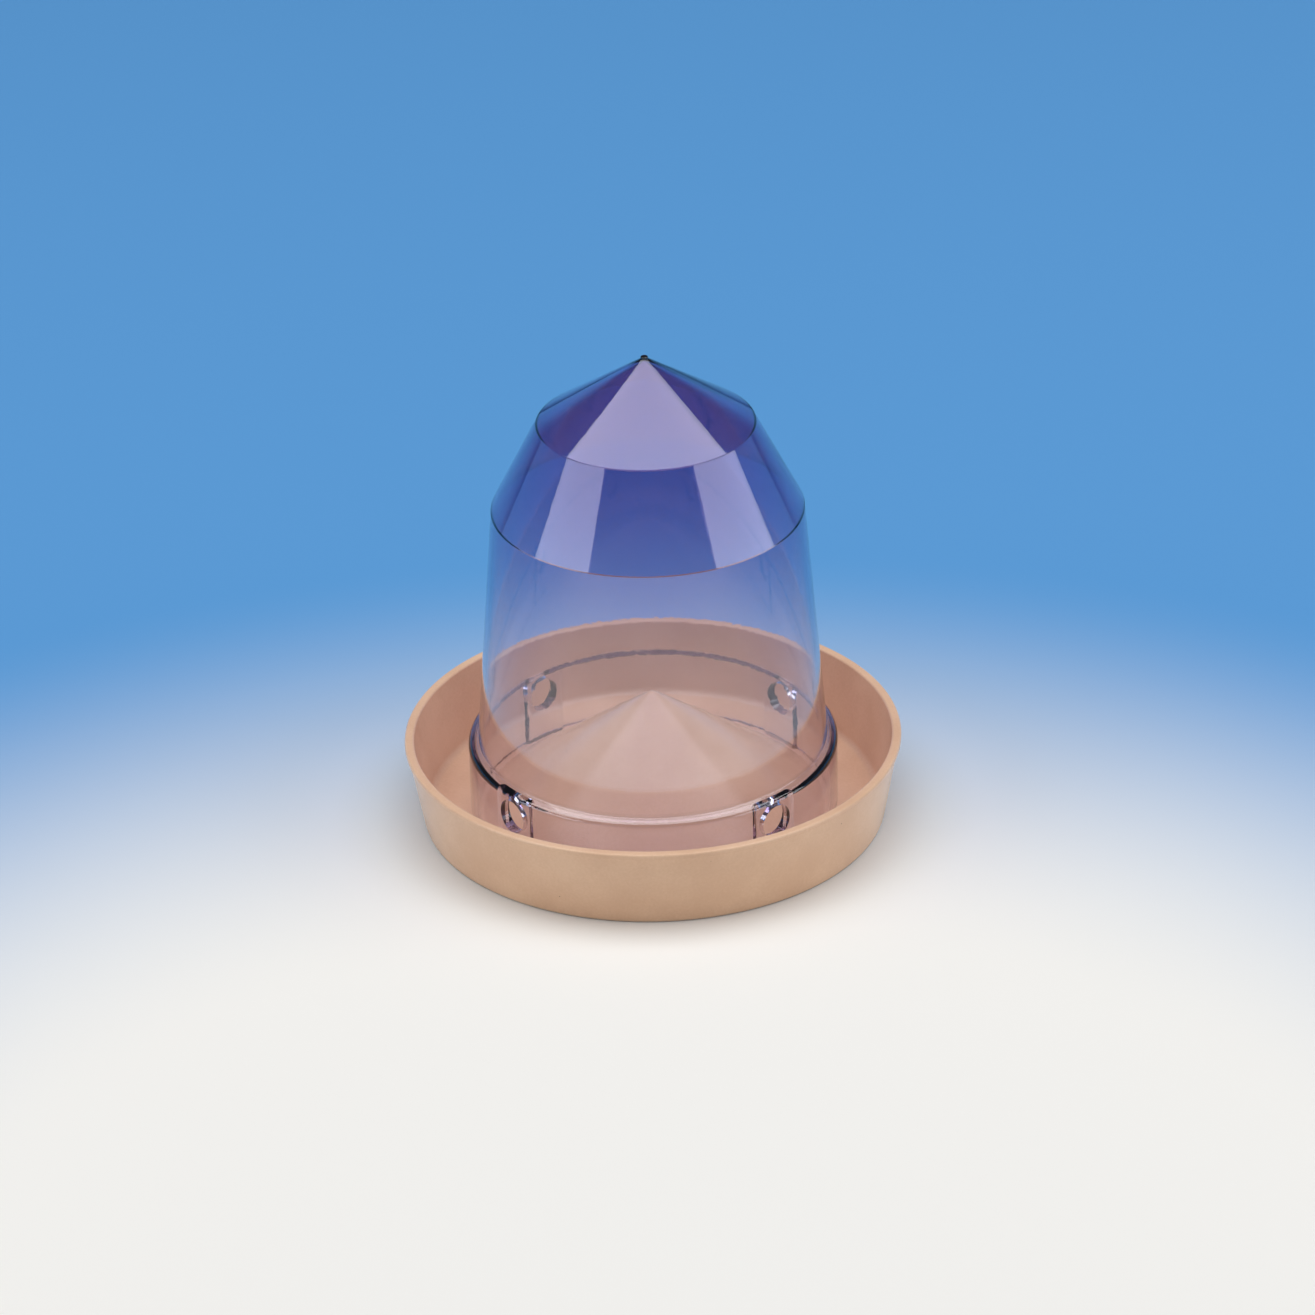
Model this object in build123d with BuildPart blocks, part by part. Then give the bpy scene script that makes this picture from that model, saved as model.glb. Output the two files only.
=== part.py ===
"""Poultry drinker: a clear plastic hood that stands in a shallow moulded dish.

The hood is filled upside down, the dish is laid on it, and the pair is turned over.
Water then runs out through the ports in the hood's skirt until it stands over them,
so the trough around the hood fills itself as the birds drink.

Millimetres. +Z is up, the axis of both pieces is the Z axis, and z = 0 is the surface
that the dish stands on. One port faces each of +X, +Y, -X and -Y.
"""

import os
from math import cos, radians, sin, tan

from build123d import *

# Hood
hood_wall = 2.0
skirt_radius = 74.4
skirt_height = 29.2
skirt_wall = 3.0
ledge_width = 4.0
ledge_rise = 1.6
body_height = 101.1
body_top_radius = 61.9
taper_height = 36.6
taper_top_radius = 43.1
point_height = 27.2
gate_radius = 1.5
gate_height = 1.0
ledge_chamfer = 1.6

# Ports through the hood's skirt, each in a pad that is thicker than the wall
port_count = 4
port_diameter = 14.0
port_cover = 2.2
pad_margin = 3.0
pad_depth = 4.3

# Dish
trough_width = 16.4
rim_height = 34.0
wall_lean = 10.0
side_wall = 3.2
floor_wall = 2.2
lip_height = 2.0
lip_overhang = 0.9
foot_width = 3.2
foot_height = 0.8
cone_slope = 36.0
cone_tip_radius = 4.0
rim_chamfer = 0.8
foot_chamfer = 0.9
trough_chamfer = 2.0

# Clearance between the foot of the dish's cone and the pads of the hood
seat_clearance = 1.0

# The hood stands on the trough's floor, and its pads stand around the cone
floor_level = foot_height + floor_wall
pad_inner_radius = skirt_radius - pad_depth
cone_foot_radius = pad_inner_radius - seat_clearance


# Dish: a cone drains onto a flat trough floor, inside a leaning wall with a lip
lean = tan(radians(wall_lean))
slope = radians(cone_slope)
trough_radius = skirt_radius + trough_width
foot_radius = trough_radius + side_wall - lean * floor_level
rim_inner_radius = trough_radius + lean * (rim_height - floor_level)
lip_radius = foot_radius + lean * (rim_height - lip_height) + lip_overhang
cone_rise = (cone_foot_radius - cone_tip_radius * sin(slope)) * tan(slope)
cone_top = floor_level + cone_rise + cone_tip_radius * (1 - cos(slope))
hollow_foot_radius = cone_foot_radius - floor_wall * tan(slope / 2)

with BuildPart() as dish:
    with BuildSketch(Plane.XZ):
        with BuildLine():
            tip = JernArc((0, cone_top), (1, 0), cone_tip_radius, -cone_slope)
            under_tip = JernArc(
                (0, cone_top - floor_wall), (1, 0), cone_tip_radius - floor_wall, -cone_slope
            )
            Polyline(
                tip @ 1,
                (cone_foot_radius, floor_level),
                (trough_radius, floor_level),
                (rim_inner_radius, rim_height),
                (lip_radius, rim_height),
                (lip_radius, rim_height - lip_height),
                (lip_radius - lip_overhang, rim_height - lip_height),
                (foot_radius, 0),
                (foot_radius - foot_width, 0),
                (foot_radius - foot_width, foot_height),
                (hollow_foot_radius, foot_height),
                under_tip @ 1,
            )
            Line(tip @ 0, under_tip @ 0)
        make_face()
    revolve(axis=Axis.Z)

    # The corner of the trough is eased, so that it wipes clean, and so are the rim and the foot
    floor_edges = dish.edges().filter_by_position(Axis.Z, floor_level, floor_level)
    chamfer(floor_edges.sort_by(SortBy.RADIUS)[-1], trough_chamfer)
    rim_edges = dish.edges().filter_by_position(Axis.Z, rim_height, rim_height)
    chamfer(rim_edges, rim_chamfer)
    foot_edges = dish.edges().filter_by_position(Axis.Z, 0, 0)
    chamfer(foot_edges.sort_by(SortBy.RADIUS)[-1], foot_chamfer)
dish.part.label = "dish"


# Hood: ledge, body, taper and point in one even wall, over a thicker skirt
skirt_top = floor_level + skirt_height
body_base = skirt_top + ledge_rise
body_top = body_base + body_height
taper_top = body_top + taper_height
point_top = taper_top + point_height
port_level = skirt_top - port_cover - port_diameter / 2

with BuildPart() as hood:
    with BuildSketch(Plane.XZ):
        with BuildLine():
            Polyline(
                (0, point_top),
                (gate_radius, point_top),
                (taper_top_radius, taper_top),
                (body_top_radius, body_top),
                (skirt_radius - ledge_width, body_base),
                (skirt_radius, skirt_top),
                (skirt_radius, floor_level),
            )
            offset(amount=hood_wall, side=Side.RIGHT, kind=Kind.INTERSECTION)
        make_face()
    revolve(axis=Axis.Z)
    chamfer(hood.edges().filter_by_position(Axis.Z, skirt_top, skirt_top), ledge_chamfer)

    # The moulding gate leaves a small stub on the point
    with BuildSketch(Plane.XY.offset(point_top)):
        Circle(gate_radius)
    extrude(amount=gate_height)

    # A ring inside the skirt thickens it, from its foot into the ledge
    with BuildSketch(Plane.XY.offset(floor_level)):
        Circle(skirt_radius - skirt_wall / 2)
        Circle(skirt_radius - skirt_wall, mode=Mode.SUBTRACT)
    extrude(amount=skirt_height)

    # So does a pad at each port, which is thicker again
    with BuildSketch(Plane.XY.offset(floor_level)):
        with PolarLocations(0, port_count):
            Rectangle(
                skirt_radius,
                port_diameter + 2 * pad_margin,
                align=(Align.MIN, Align.CENTER),
            )
        Circle(skirt_radius - skirt_wall / 2, mode=Mode.INTERSECT)
        Circle(pad_inner_radius, mode=Mode.SUBTRACT)
    extrude(amount=skirt_height)

    # Each port is bored from the axis outwards through its pad
    with Locations((0, 0, port_level)):
        with PolarLocations(0, port_count):
            Cylinder(
                port_diameter / 2,
                trough_radius,
                rotation=(0, 90, 0),
                align=(Align.CENTER, Align.CENTER, Align.MIN),
                mode=Mode.SUBTRACT,
            )
hood.part.label = "hood"


os.makedirs("parts", exist_ok=True)
export_step(dish.part, "parts/dish.step")
export_step(hood.part, "parts/hood.step")

for piece in (dish, hood):
    box = piece.part.bounding_box()
    print(piece.part.label, "is", round(box.size.X, 1), "mm across, from z", round(box.min.Z, 2),
          "to", round(box.max.Z, 2), "and holds", round(piece.part.volume / 1000, 1), "cm3")
print("rim radius", round(lip_radius, 2), "cone top", round(cone_top, 2))
print("ports from z", round(port_level - port_diameter / 2, 2), "to",
      round(port_level + port_diameter / 2, 2), "in walls", pad_depth, "thick")
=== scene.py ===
# %% [markdown]
# # A poultry drinker: a clear hood in a tan dish
#
# The drinker is two plastic mouldings. The hood holds the water and is clear with a violet
# tint, so that the keeper sees how full it is. The dish below it is a plain tan plastic.
# The script loads the measured model, makes both mouldings again with their small rounds,
# gives them their plastics, and stands them in a small studio. Lengths are metres.

# %% Load the measured model
from math import cos, pi, radians, sin, tan

import bmesh
import bpy
import numpy as np
from mathutils import Matrix, Vector


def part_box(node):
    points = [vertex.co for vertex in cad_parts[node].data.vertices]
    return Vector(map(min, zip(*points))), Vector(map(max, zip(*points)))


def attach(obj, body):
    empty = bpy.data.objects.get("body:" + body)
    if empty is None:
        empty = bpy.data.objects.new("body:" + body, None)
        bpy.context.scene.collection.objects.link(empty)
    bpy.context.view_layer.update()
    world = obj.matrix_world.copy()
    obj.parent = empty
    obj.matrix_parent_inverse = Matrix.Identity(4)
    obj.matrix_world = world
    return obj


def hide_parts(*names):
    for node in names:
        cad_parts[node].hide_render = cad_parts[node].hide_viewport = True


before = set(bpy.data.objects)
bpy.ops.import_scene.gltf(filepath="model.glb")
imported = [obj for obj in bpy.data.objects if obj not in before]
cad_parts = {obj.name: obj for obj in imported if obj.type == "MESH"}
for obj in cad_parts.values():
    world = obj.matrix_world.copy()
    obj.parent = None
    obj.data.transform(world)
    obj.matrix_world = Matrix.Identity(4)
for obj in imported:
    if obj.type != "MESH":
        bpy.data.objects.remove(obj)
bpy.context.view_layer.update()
dish_low, dish_high = (Vector(corner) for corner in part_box("dish"))
hood_low, hood_high = (Vector(corner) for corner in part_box("hood"))
print("nodes:", sorted(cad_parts))

# %% [markdown]
# ## A profile with rounded corners
#
# Every form here was moulded from a turned tool, so each is a half outline that goes round
# an axis. A drawn outline has sharp corners, but no moulding has, and a sharp corner
# catches no light. They could be rounded afterwards with a Bevel modifier. Here the round
# goes into the outline itself, because then its radius is the real one and the mesh stays
# an even grid.

# %% Round the corners of an outline
MM = 0.001
ARC_STEPS = 7
HOLD = 0.25 * MM


def held(outline):
    """The outline with a point close to both ends of each long straight run, so that the
    smooth shading of a round stays in the round and the run beside it shades flat."""
    run = np.diff(outline, axis=0)
    length = np.linalg.norm(run, axis=1, keepdims=True)
    near = np.minimum(HOLD, length / 4) / length
    with_holds = np.stack([outline[:-1], outline[:-1] + run * near, outline[1:] - run * near], axis=1)
    long_enough = np.repeat(length > 4 * HOLD, 3, axis=1)
    long_enough[:, 0] = True
    return np.concatenate([with_holds[long_enough], outline[-1:]])


def rounded(corners, arc_steps=ARC_STEPS):
    """Points of an outline whose corners (r, z, radius) are replaced by arcs.

    The arc at a corner touches both of its sides at radius / tan(half the angle between
    them). Its centre lies on the line that halves the angle, at radius / sin(half of it),
    and its points turn evenly from one touching point to the other."""
    points = np.array([corner[:2] for corner in corners], float)
    outline = [points[:1]]
    for before, corner, after, (_, _, radius) in zip(points, points[1:], points[2:], corners[1:-1]):
        if radius == 0:
            outline.append(corner[None])
            continue
        to_before = (before - corner) / np.linalg.norm(before - corner)
        to_after = (after - corner) / np.linalg.norm(after - corner)
        half = np.arccos(np.clip(to_before @ to_after, -1, 1)) / 2
        reach = radius / tan(half)
        middle = (to_before + to_after) / np.linalg.norm(to_before + to_after)
        centre = corner + middle * radius / sin(half)
        start, end = corner + to_before * reach - centre, corner + to_after * reach - centre
        turn = pi - 2 * half
        share = np.linspace(0, 1, arc_steps)[:, None]
        outline.append(centre + (np.sin((1 - share) * turn) * start + np.sin(share * turn) * end) / sin(turn))
    outline.append(points[-1:])
    return held(np.concatenate(outline))


# %% [markdown]
# ## Turning a profile
#
# A lathe form could be made with the Screw modifier. A grid of points says more plainly
# what it is: one row for each point of the outline, one column for each angle. The last
# column joins the first one, so there is no seam, and an outline that starts and ends on
# the axis closes in two fans of triangles.

# %% Turn an outline about the Z axis
TURN_STEPS = 192
SMOOTH_UNDER = radians(28)


def add_piece(name, points, faces):
    """A mesh object from an array of points and a list of faces, smooth but for its edges."""
    mesh = bpy.data.meshes.new(name)
    mesh.from_pydata(points, [], faces)
    mesh.validate()
    mesh.shade_smooth()
    mesh.set_sharp_from_angle(angle=SMOOTH_UNDER)
    piece = bpy.data.objects.new(name, mesh)
    bpy.context.collection.objects.link(piece)
    return piece


def lathe(name, outline):
    """A closed solid turned from an outline (r, z) that starts and ends on the Z axis.

    Point i of the outline and angle t give (r_i cos t, r_i sin t, z_i)."""
    angle = np.arange(TURN_STEPS) * 2 * pi / TURN_STEPS
    r, z = outline[1:-1, 0, None], outline[1:-1, 1, None]
    rings = np.stack([r * np.cos(angle), r * np.sin(angle), z + 0 * angle], axis=-1)
    first, last = len(rings) * TURN_STEPS, len(rings) * TURN_STEPS + 1
    poles = [(0, 0, outline[0, 1]), (0, 0, outline[-1, 1])]
    points = np.concatenate([rings.reshape(-1, 3), poles])
    here = np.arange(len(rings) * TURN_STEPS).reshape(len(rings), TURN_STEPS)
    beside = np.roll(here, -1, axis=1)
    walls = np.stack([here[:-1], here[1:], beside[1:], beside[:-1]], axis=-1).reshape(-1, 4)
    top_fan = np.stack([here[0] * 0 + first, here[0], beside[0]], axis=-1)
    end_fan = np.stack([here[-1] * 0 + last, beside[-1], here[-1]], axis=-1)
    return add_piece(name, points.tolist(), walls.tolist() + top_fan.tolist() + end_fan.tolist())


# %% [markdown]
# ## The dish
#
# The dish is one moulding. Its floor rises to a cone in the middle, so that the last of the
# water runs out into the trough, and the hood stands around that cone. The wall leans out,
# so that dishes stack, and ends in a small lip that a hand can hold. Under it, the cone is
# hollow and the rim of the foot is all that touches the ground. The wall is even, because a
# thick place would sink as it cools.

# %% Make the dish
floor_level = hood_low.z
rim_level = 34.0 * MM
trough_radius = 90.8 * MM
wall_lean = tan(radians(10))
side_wall = 3.2 * MM
dish_wall = 2.2 * MM
lip_height = 2.0 * MM
lip_overhang = 0.9 * MM
foot_width = 3.2 * MM
foot_height = 0.8 * MM
cone_foot_radius = 69.1 * MM
cone_slope = radians(36)

foot_radius = trough_radius + side_wall - wall_lean * floor_level
rim_inner_radius = trough_radius + wall_lean * (rim_level - floor_level)
under_lip_radius = foot_radius + wall_lean * (rim_level - lip_height)
lip_radius = dish_high.x
hollow_radius = cone_foot_radius - dish_wall * tan(cone_slope / 2)
point_level = floor_level + cone_foot_radius * tan(cone_slope)
hollow_point_level = foot_height + hollow_radius * tan(cone_slope)
tip_round = 4.0 * MM


def cone_tip(point_z, radius):
    """The round on a cone's tip: an arc from the axis to where it touches the slope."""
    turn = np.linspace(0, cone_slope, ARC_STEPS)[:, None]
    top = point_z - radius * (1 / cos(cone_slope) - 1)
    return np.concatenate([radius * np.sin(turn), top - radius * (1 - np.cos(turn))], axis=1)


dish_corners = [
    (*cone_tip(point_level, tip_round)[-1], 0),
    (cone_foot_radius, floor_level, 1.5 * MM),
    (trough_radius, floor_level, 3.0 * MM),
    (rim_inner_radius, rim_level, 0.9 * MM),
    (lip_radius, rim_level, 0.9 * MM),
    (lip_radius, rim_level - lip_height, 0.3 * MM),
    (under_lip_radius, rim_level - lip_height, 0.3 * MM),
    (foot_radius, 0, 0.9 * MM),
    (foot_radius - foot_width, 0, 0.3 * MM),
    (foot_radius - foot_width, foot_height, 0.3 * MM),
    (hollow_radius, foot_height, 3.7 * MM),
    (*cone_tip(hollow_point_level, tip_round - dish_wall)[-1], 0),
]
dish_outline = np.concatenate([
    cone_tip(point_level, tip_round)[:-1],
    rounded(dish_corners),
    cone_tip(hollow_point_level, tip_round - dish_wall)[-2::-1],
])
dish = lathe("drinking_dish", dish_outline)
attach(dish, "root")
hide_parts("dish")
print("dish:", len(dish.data.polygons), "faces, cone top at", round(dish_outline[0, 1] / MM, 2), "mm")

# %% [markdown]
# ## The hood
#
# The hood is one moulding too, two millimetres thick from its point down to the ledge and
# three in the skirt. Its outline is the outer line and the same line moved in by the wall.
# Moving each straight stretch in and crossing it with the next keeps the wall even round
# every corner. A Solidify modifier does nearly that, but it thins the wall at a corner, and
# in clear plastic a wall of uneven thickness shows.

# %% Make the shell of the hood
hood_wall = 2.0 * MM
skirt_wall = 3.0 * MM
skirt_radius = hood_high.x
skirt_top = floor_level + 29.2 * MM
body_foot_radius = skirt_radius - 4.0 * MM
body_foot = skirt_top + 1.6 * MM
body_top_radius = 61.9 * MM
body_top = body_foot + 101.1 * MM
taper_top_radius = 43.1 * MM
taper_top = body_top + 36.6 * MM
gate_radius = 1.5 * MM
gate_height = 1.0 * MM
point_top = hood_high.z - gate_height


def moved_in(points, wall):
    """The outline moved to its right by the wall: each side moves along its own normal,
    and two sides next to each other cross at corner + wall (n1 + n2) / (1 + n1 . n2)."""
    sides = np.diff(points, axis=0)
    normals = np.stack([sides[:, 1], -sides[:, 0]], axis=1)
    normals /= np.linalg.norm(normals, axis=1)[:, None]
    first, second = normals[:-1], normals[1:]
    shared = 1 + np.sum(first * second, axis=1, keepdims=True)
    corners = points[1:-1] + wall * (first + second) / shared
    return np.concatenate([points[:1] + wall * normals[:1], corners, points[-1:] + wall * normals[-1:]])


outer_line = np.array([
    (gate_radius, point_top),
    (taper_top_radius, taper_top),
    (body_top_radius, body_top),
    (body_foot_radius, body_foot),
    (skirt_radius, skirt_top),
    (skirt_radius, floor_level),
])
inner_line = moved_in(outer_line, hood_wall)
inner_line[4:, 0] = skirt_radius - skirt_wall
point_slope = (point_top - taper_top) / (taper_top_radius - gate_radius)
inner_point = inner_line[0, 1] + inner_line[0, 0] * point_slope
outer_rounds = np.array([0.4, 0.9, 0.9, 0.8, 2.4, 0.5]) * MM
inner_rounds = np.array([0, 0.6, 0.6, 2.0, 0.8, 0.5]) * MM
hood_corners = [
    (0, hood_high.z, 0),
    (gate_radius, hood_high.z, 0.4 * MM),
    *((*point, size) for point, size in zip(outer_line, outer_rounds)),
    *((*point, size) for point, size in zip(inner_line[:0:-1], inner_rounds[:0:-1])),
    (0, inner_point, 0),
]
hood = lathe("clear_hood", rounded(hood_corners))
print("hood:", len(hood.data.polygons), "faces, wall", hood_wall / MM, "mm")

# %% [markdown]
# ## Ports in thick pads
#
# The water leaves through four round ports. A bore through a thin wall would be weak and
# would whistle as the water glugs, so the wall is thicker there: a pad runs up inside the
# skirt at each port. The pads and the bores could be part of the skirt's grid, but a round
# hole in a curved grid needs a patch of its own. A Boolean modifier says the same as the
# toolmaker does: join the pads, then bore the ports.

# %% Join the pads and bore the ports
port_radius = 7.0 * MM
port_level = skirt_top - 2.2 * MM - port_radius
pad_half_width = port_radius + 3.0 * MM
pad_flank = 4.0 * MM
pad_inner_radius = skirt_radius - 4.3 * MM
PORTS = 4


def bars_around(name, ends):
    """Closed bars between pairs of outlines, one bar facing each port.

    ends holds the two end outlines as an array (2, n, 3). The bar at the port k is turned
    by k quarter turns about the Z axis."""
    count = ends.shape[1]
    turn = np.arange(PORTS) * 2 * pi / PORTS
    spin = np.zeros((PORTS, 3, 3))
    spin[:, 0, 0], spin[:, 1, 1], spin[:, 2, 2] = np.cos(turn), np.cos(turn), 1
    spin[:, 0, 1], spin[:, 1, 0] = -np.sin(turn), np.sin(turn)
    points = np.einsum("kij,enj->keni", spin, ends).reshape(-1, 3)
    here = np.arange(count)
    beside = np.roll(here, -1)
    sides = np.stack([here, beside, beside + count, here + count], axis=-1)
    caps = [here[::-1].tolist(), (here + count).tolist()]
    faces = []
    for start in range(0, PORTS * 2 * count, 2 * count):
        faces += (sides + start).tolist() + [[point + start for point in cap] for cap in caps]
    return add_piece(name, points.tolist(), faces)


def pad_ends(steps=48):
    """The foot and the head of a pad. In plan it lies between two lines about the axis: a
    circle inside the skirt's wall, and the pad's own face, whose radius grows from the
    pad's to the wall's as (1 - cos) / 2 over the flank at either side."""
    reach = pad_half_width + pad_flank / 2
    across = np.linspace(-reach, reach, steps)
    fade = np.clip((np.abs(across) - reach + pad_flank) / pad_flank, 0, 1)
    sunk = skirt_radius - skirt_wall * 0.8
    face_radius = pad_inner_radius + (sunk - pad_inner_radius) * (1 - np.cos(pi * fade)) / 2
    outer_radius = skirt_radius - skirt_wall / 2
    inner = np.stack([np.sqrt(face_radius ** 2 - across ** 2), across], axis=1)
    outer = np.stack([np.sqrt(outer_radius ** 2 - across ** 2), across], axis=1)[::-1]
    plan = np.concatenate([outer, inner])[::-1]
    levels = (floor_level, skirt_top)
    return np.stack([np.column_stack([plan, np.full(len(plan), level)]) for level in levels])


def port_ends(steps=64):
    """Two circles about the port's axis, one inside the hood and one outside it."""
    angle = np.arange(steps) * 2 * pi / steps
    circle = port_radius * np.stack([np.cos(angle), np.sin(angle)], axis=1) + (0, port_level)
    places = (pad_inner_radius - pad_half_width, trough_radius)
    return np.stack([np.column_stack([np.full(steps, place), circle]) for place in places])


def join_or_cut(piece, tool, operation):
    """Applies one Boolean modifier to the piece and removes the tool."""
    step = piece.modifiers.new(operation, "BOOLEAN")
    step.operation, step.object, step.solver = operation, tool, "EXACT"
    graph = bpy.context.evaluated_depsgraph_get()
    shaped = bpy.data.meshes.new_from_object(piece.evaluated_get(graph))
    piece.modifiers.clear()
    old, piece.data = piece.data, shaped
    bpy.data.meshes.remove(old)
    shaped.name = piece.name
    shaped.set_sharp_from_angle(angle=SMOOTH_UNDER)
    tool_mesh = tool.data
    bpy.data.objects.remove(tool)
    bpy.data.meshes.remove(tool_mesh)


join_or_cut(hood, bars_around("pads", pad_ends()), "UNION")
join_or_cut(hood, bars_around("ports", port_ends()), "DIFFERENCE")
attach(hood, "root")
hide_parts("hood")
check = bmesh.new()
check.from_mesh(hood.data)
open_edges = sum(not edge.is_manifold for edge in check.edges)
print("hood:", len(hood.data.polygons), "faces,", open_edges, "open edges,",
      round(check.calc_volume() / MM ** 3 / 1000, 1), "cm3")
check.free()

# %% [markdown]
# ## Writing a finish as sums
#
# A material is a graph of nodes, and its arithmetic reads best as arithmetic. A small class
# wraps a node's output, so that Python's own signs add Math nodes, and one method adds any
# other node.

# %% Wrap a node's output
class Wire:
    """A node's output. Adding, taking away and multiplying put Math nodes after it."""

    def __init__(self, tree, socket):
        self.tree, self.socket = tree, socket

    def math(self, operation, first, second):
        return self.tree.add("ShaderNodeMath", {"operation": operation}, {0: first, 1: second})

    def __add__(self, other):
        return self.math("ADD", self, other)

    def __sub__(self, other):
        return self.math("SUBTRACT", self, other)

    def __rsub__(self, other):
        return self.math("SUBTRACT", other, self)

    def __mul__(self, other):
        return self.math("MULTIPLY", self, other)

    __radd__, __rmul__ = __add__, __mul__


class Finish:
    """The node tree of a material or of the world, with one way to add a node."""

    def __init__(self, tree):
        self.tree = tree
        tree.nodes.clear()

    def add(self, kind, settings=None, values=None, output=0):
        """A node of the kind, its settings first, then the values or wires of its sockets."""
        node = self.tree.nodes.new(kind)
        for name, setting in (settings or {}).items():
            setattr(node, name, setting)
        for socket, value in (values or {}).items():
            if isinstance(value, Wire):
                self.tree.links.new(value.socket, node.inputs[socket])
            else:
                node.inputs[socket].default_value = value
        return Wire(self, node.outputs[output]) if len(node.outputs) else None

    def place(self):
        """The point's own place on the piece, in metres."""
        return self.add("ShaderNodeTexCoord", output="Object")

    def noise(self, size, detail=3, roughness=0.5):
        """Soft blotches about the size across, in metres, from 0 to 1."""
        return self.add("ShaderNodeTexNoise", values={
            "Vector": self.place(), "Scale": 1 / size, "Detail": detail, "Roughness": roughness})

    def step(self, value, start, end):
        """0 before the start, 1 after the end, and smooth between them."""
        return self.add("ShaderNodeMapRange", {"interpolation_type": "SMOOTHSTEP"},
                        {"Value": value, "From Min": start, "From Max": end})

    def mix(self, share, first, second):
        """Two colours, by the share of the second one."""
        return self.add("ShaderNodeMix", {"data_type": "RGBA"},
                        {"Factor": share, "A": first, "B": second}, output="Result")

    def specks(self, size, spacing, seed):
        """Small round specks, one in each cell of the spacing, most of them too small to see."""
        place = self.add("ShaderNodeVectorMath", {"operation": "ADD"},
                         {0: self.place(), 1: (seed, seed * 2, seed * 3)})
        cells = {"Vector": place, "Scale": 1 / spacing}
        distance = self.add("ShaderNodeTexVoronoi", {}, cells, "Distance")
        colour = self.add("ShaderNodeTexVoronoi", {}, cells, "Color")
        chance = self.add("ShaderNodeSeparateColor", {}, {"Color": colour}, "Red")
        reach = self.step(chance, 0.55, 1.0) * (size / spacing)
        return self.step(reach - distance, 0.0, 0.2 * size / spacing)


def colour(red, green, blue):
    """A colour as written for a screen, from 0 to 255, made linear for a shader."""
    share = np.array([red, green, blue]) / 255
    linear = np.where(share <= 0.04045, share / 12.92, ((share + 0.055) / 1.055) ** 2.4)
    return (*linear.tolist(), 1.0)


def new_finish(name, piece):
    """A new material on the piece, with an empty tree."""
    material = bpy.data.materials.new(name)
    material.use_nodes = True
    piece.data.materials.clear()
    piece.data.materials.append(material)
    return Finish(material.node_tree)


# %% [markdown]
# ## Tan plastic
#
# The dish is coloured right through with pigment, which never mixes quite evenly: it has
# faint clouds a few centimetres across, a fine grain, and here and there a dark speck of
# burnt plastic. The mould was grained lightly, so its gloss is soft. The foot is greyer in
# a thin line along its bottom edge, where it meets the ground.

# %% Finish the dish
tan_light = colour(236, 198, 166)
tan_deep = colour(223, 182, 150)
speck_brown = colour(112, 84, 66)
# Grey for the thin line along the foot's bottom edge.
foot_edge_grey = colour(150, 146, 142)

plastic = new_finish("tan_plastic", dish)
clouds = plastic.noise(30 * MM)
grain = plastic.noise(1.1 * MM, detail=4, roughness=0.6)
body = plastic.mix(plastic.step(clouds * 0.7 + grain * 0.3, 0.3, 0.7), tan_light, tan_deep)
body = plastic.mix(plastic.specks(0.35 * MM, 9 * MM, 0.2) * 0.8, body, speck_brown)
height = plastic.add("ShaderNodeSeparateXYZ", {}, {"Vector": plastic.place()}, "Z")
# Greyer within about a millimetre and a half of the ground, along the foot's bottom edge.
foot_edge_share = 1 - plastic.step(height + grain * (0.8 * MM), 0.3 * MM, 1.6 * MM)
body = plastic.mix(foot_edge_share * 0.7, body, foot_edge_grey)
relief = plastic.add("ShaderNodeBump", {}, {
    "Height": grain, "Strength": 0.25, "Distance": 0.15 * MM}, "Normal")
surface = plastic.add("ShaderNodeBsdfPrincipled", {}, {
    "Base Color": body,
    "Roughness": grain * 0.1 + 0.14,
    "Normal": relief,
    "IOR": 1.5,
})
plastic.add("ShaderNodeOutputMaterial", {}, {"Surface": surface})

# %% [markdown]
# ## Clear plastic with a violet tint
#
# The hood is a solid with a real wall, so light bends on its way in and out, and that makes
# the dark lines at the ledge and the ports. A flat see-through material could never show
# them. Light that bends casts a shadow that is slow to compute, so a tinted see-through
# surface stands in for it where a shadow or a matt surface asks. Up towards the point the
# surface colour turns violet, a painted stand-in for the blue backdrop seen through it.

# %% Finish the hood
clear_tint = colour(252, 252, 255)
# Painted backdrop: the violet that the surface turns to towards the point, standing in for the blue seen
# through the hood.
painted_backdrop_violet = colour(189, 169, 216)
painted_violet_start, painted_violet_end = 70 * MM, 165 * MM
shadow_tint = colour(249, 247, 251)
depth_colour = colour(208, 200, 228)
depth_density = 90.0

clear = new_finish("clear_violet_plastic", hood)
swirl = clear.noise(9 * MM, detail=2)
peel = clear.noise(2.2 * MM, detail=2)
waves = clear.add("ShaderNodeBump", {}, {
    "Height": swirl * 0.8 + peel * 0.2, "Strength": 0.12, "Distance": 0.25 * MM}, "Normal")
rise = clear.add("ShaderNodeSeparateXYZ", {}, {"Vector": clear.place()}, "Z")
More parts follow.
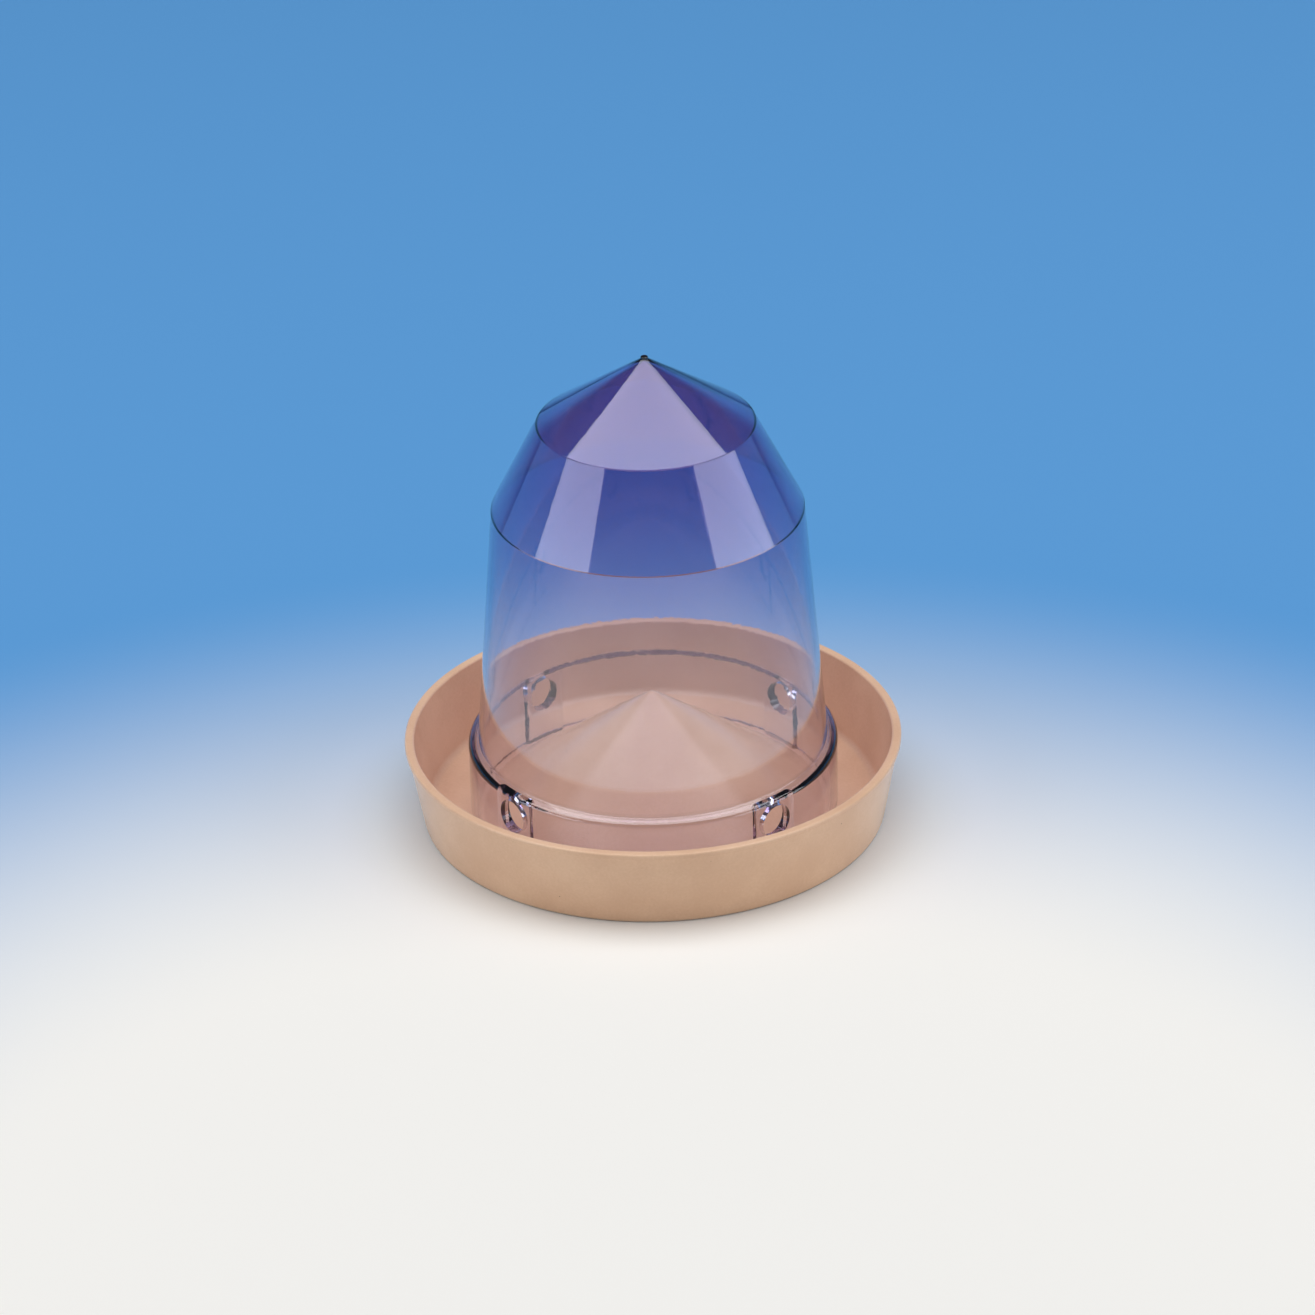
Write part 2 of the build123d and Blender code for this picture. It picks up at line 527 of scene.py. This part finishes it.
# Clear low down and painted violet higher up, where the blue backdrop shows through the hood.
tint_with_painted_backdrop = clear.mix(clear.step(rise, painted_violet_start, painted_violet_end), clear_tint, painted_backdrop_violet)
glassy = clear.add("ShaderNodeBsdfPrincipled", {}, {
    "Base Color": clear.mix(clear.specks(0.3 * MM, 12 * MM, 0.5) * 0.9, tint_with_painted_backdrop, speck_brown),
    "Roughness": peel * 0.02 + 0.015,
    "Normal": waves,
    "IOR": 1.59,
    "Transmission Weight": 1.0,
    "Coat Weight": 0.45,
})
see_through = clear.add("ShaderNodeBsdfTransparent", {}, {"Color": shadow_tint})
shadow_ray = clear.add("ShaderNodeLightPath", output="Is Shadow Ray")
matt_ray = clear.add("ShaderNodeLightPath", output="Is Diffuse Ray")
either = clear.add("ShaderNodeMath", {"operation": "MAXIMUM"}, {0: shadow_ray, 1: matt_ray})
shown = clear.add("ShaderNodeMixShader", {}, {0: either, 1: glassy, 2: see_through})
depth = clear.add("ShaderNodeVolumeAbsorption", {}, {"Color": depth_colour, "Density": depth_density})
clear.add("ShaderNodeOutputMaterial", {}, {"Surface": shown, "Volume": depth})

# %% [markdown]
# ## The floor and the air
#
# Clear plastic looks like what is behind it, so the floor matters. It is a plain paper in
# soft blue, with a wide pool of light painted white onto it around the drinker, and the air
# above it has the same blue. The painted pool's middle lies a little in front of the
# drinker, so that the blue begins behind the hood and shows its edges.

# %% Lay the floor
VIEW_AZIMUTH = radians(49.7)
# A pool of light painted into the paper: white near the drinker, fading to blue further out.
painted_pool_white = colour(242, 241, 238)
paper_blue = colour(92, 155, 214)
floor_reach = 8.0
painted_pool_shift = 0.35
painted_pool_start, painted_pool_end = 0.25, 0.58
to_camera = Vector((sin(VIEW_AZIMUTH), -cos(VIEW_AZIMUTH), 0))
painted_pool_middle = to_camera * painted_pool_shift

floor = add_piece("floor", [(x * floor_reach, y * floor_reach, 0) for x, y in
                            ((-1, -1), (1, -1), (1, 1), (-1, 1))], [(0, 1, 2, 3)])
paper = new_finish("studio_paper", floor)
from_middle = paper.add("ShaderNodeVectorMath", {"operation": "DISTANCE"},
                        {0: paper.place(), 1: tuple(painted_pool_middle)}, "Value")
# Painted pool of light: white within the pool's reach, blue beyond it.
paper_and_painted_pool = paper.mix(paper.step(from_middle, painted_pool_start, painted_pool_end), painted_pool_white, paper_blue)
matt = paper.add("ShaderNodeBsdfDiffuse", {}, {"Color": paper_and_painted_pool})
paper.add("ShaderNodeOutputMaterial", {}, {"Surface": matt})

# %% Colour the air
ceiling_grey = colour(72, 74, 86)
matt_light = colour(86, 84, 82)
bpy.context.scene.world = bpy.data.worlds.new("studio_air")
bpy.context.scene.world.use_nodes = True
air = Finish(bpy.context.scene.world.node_tree)
direction = air.add("ShaderNodeTexCoord", output="Generated")
rise = air.add("ShaderNodeSeparateXYZ", {}, {"Vector": direction}, "Z")
air_colour = air.mix(air.step(rise, 0.15, 0.42), paper_blue, ceiling_grey)
on_matt = air.add("ShaderNodeLightPath", output="Is Diffuse Ray")
air_colour = air.mix(on_matt, air_colour, matt_light)
glow = air.add("ShaderNodeBackground", {}, {"Color": air_colour, "Strength": 1.0})
air.add("ShaderNodeOutputWorld", {}, {"Surface": glow})

# %% [markdown]
# ## Lamps
#
# Three soft boxes light the drinker. The large one overhead lies in the hood's point as a
# bright fan, and the two at the sides draw an upright stripe each on the taper. They are
# area lamps, so each is a real rectangle in every reflection.

# %% Hang the soft boxes
def soft_box(name, bearing, rise_angle, distance, size, brightness, aim=Vector((0, 0, 0.1)), roll=0.0):
    """A rectangular lamp that faces the aim.

    bearing is its direction in plan, counted from the camera's side anticlockwise, and
    rise_angle is its height above the horizon, both in degrees. size is width, height.
    brightness is what a mirror would show of it, where 1 is white, so its power is
    brightness x pi x area."""
    around, up = VIEW_AZIMUTH + radians(bearing), radians(rise_angle)
    away = Vector((sin(around) * cos(up), -cos(around) * cos(up), sin(up)))
    data = bpy.data.lights.new(name, "AREA")
    data.shape = "RECTANGLE"
    data.size, data.size_y = size
    data.energy = brightness * pi * size[0] * size[1]
    lamp = bpy.data.objects.new(name, data)
    facing = away.to_track_quat("Z", "Y").to_matrix().to_4x4()
    lamp.matrix_world = Matrix.Translation(aim + away * distance) @ facing @ Matrix.Rotation(roll, 4, "Z")
    lamp.visible_camera = False
    bpy.context.collection.objects.link(lamp)
    return lamp


overhead_height = 3.0
overhead = soft_box("soft_box_overhead", 180, 87, overhead_height,
                    (1.9 * overhead_height, 0.8 * overhead_height), 2.7)
right_box = soft_box("soft_box_right", 74, 16, 2.2, (1.9, 1.1), 2.0)
left_box = soft_box("soft_box_left", -66, 18, 2.2, (1.6, 1.0), 2.0)
for lamp in (overhead, right_box, left_box):
    print(lamp.name, [round(value, 2) for value in lamp.location])

# %% [markdown]
# ## The camera
#
# The picture was taken from a good distance with a long lens, looking down at the dish. The
# camera stands on a bearing and a height above the horizon, looks at a point just beside
# the drinker's axis, and is turned by a degree about its own line of sight.

# %% Set the camera
camera_height = 1.028
camera_reach = 1.798
look_down = radians(28.12)
look_aside = radians(0.08)
camera_roll = radians(-1.29)
lens_length = 139.6

view = bpy.data.cameras.new("camera")
view.lens, view.sensor_width = lens_length, 36.0
camera = bpy.data.objects.new("camera", view)
turned = Matrix.Rotation(VIEW_AZIMUTH - look_aside, 4, "Z") @ Matrix.Rotation(pi / 2 - look_down, 4, "X")
stand = to_camera * camera_reach + Vector((0, 0, camera_height))
camera.matrix_world = Matrix.Translation(stand) @ turned @ Matrix.Rotation(camera_roll, 4, "Z")
bpy.context.collection.objects.link(camera)
bpy.context.scene.camera = camera
bpy.context.scene.view_settings.view_transform = "Standard"
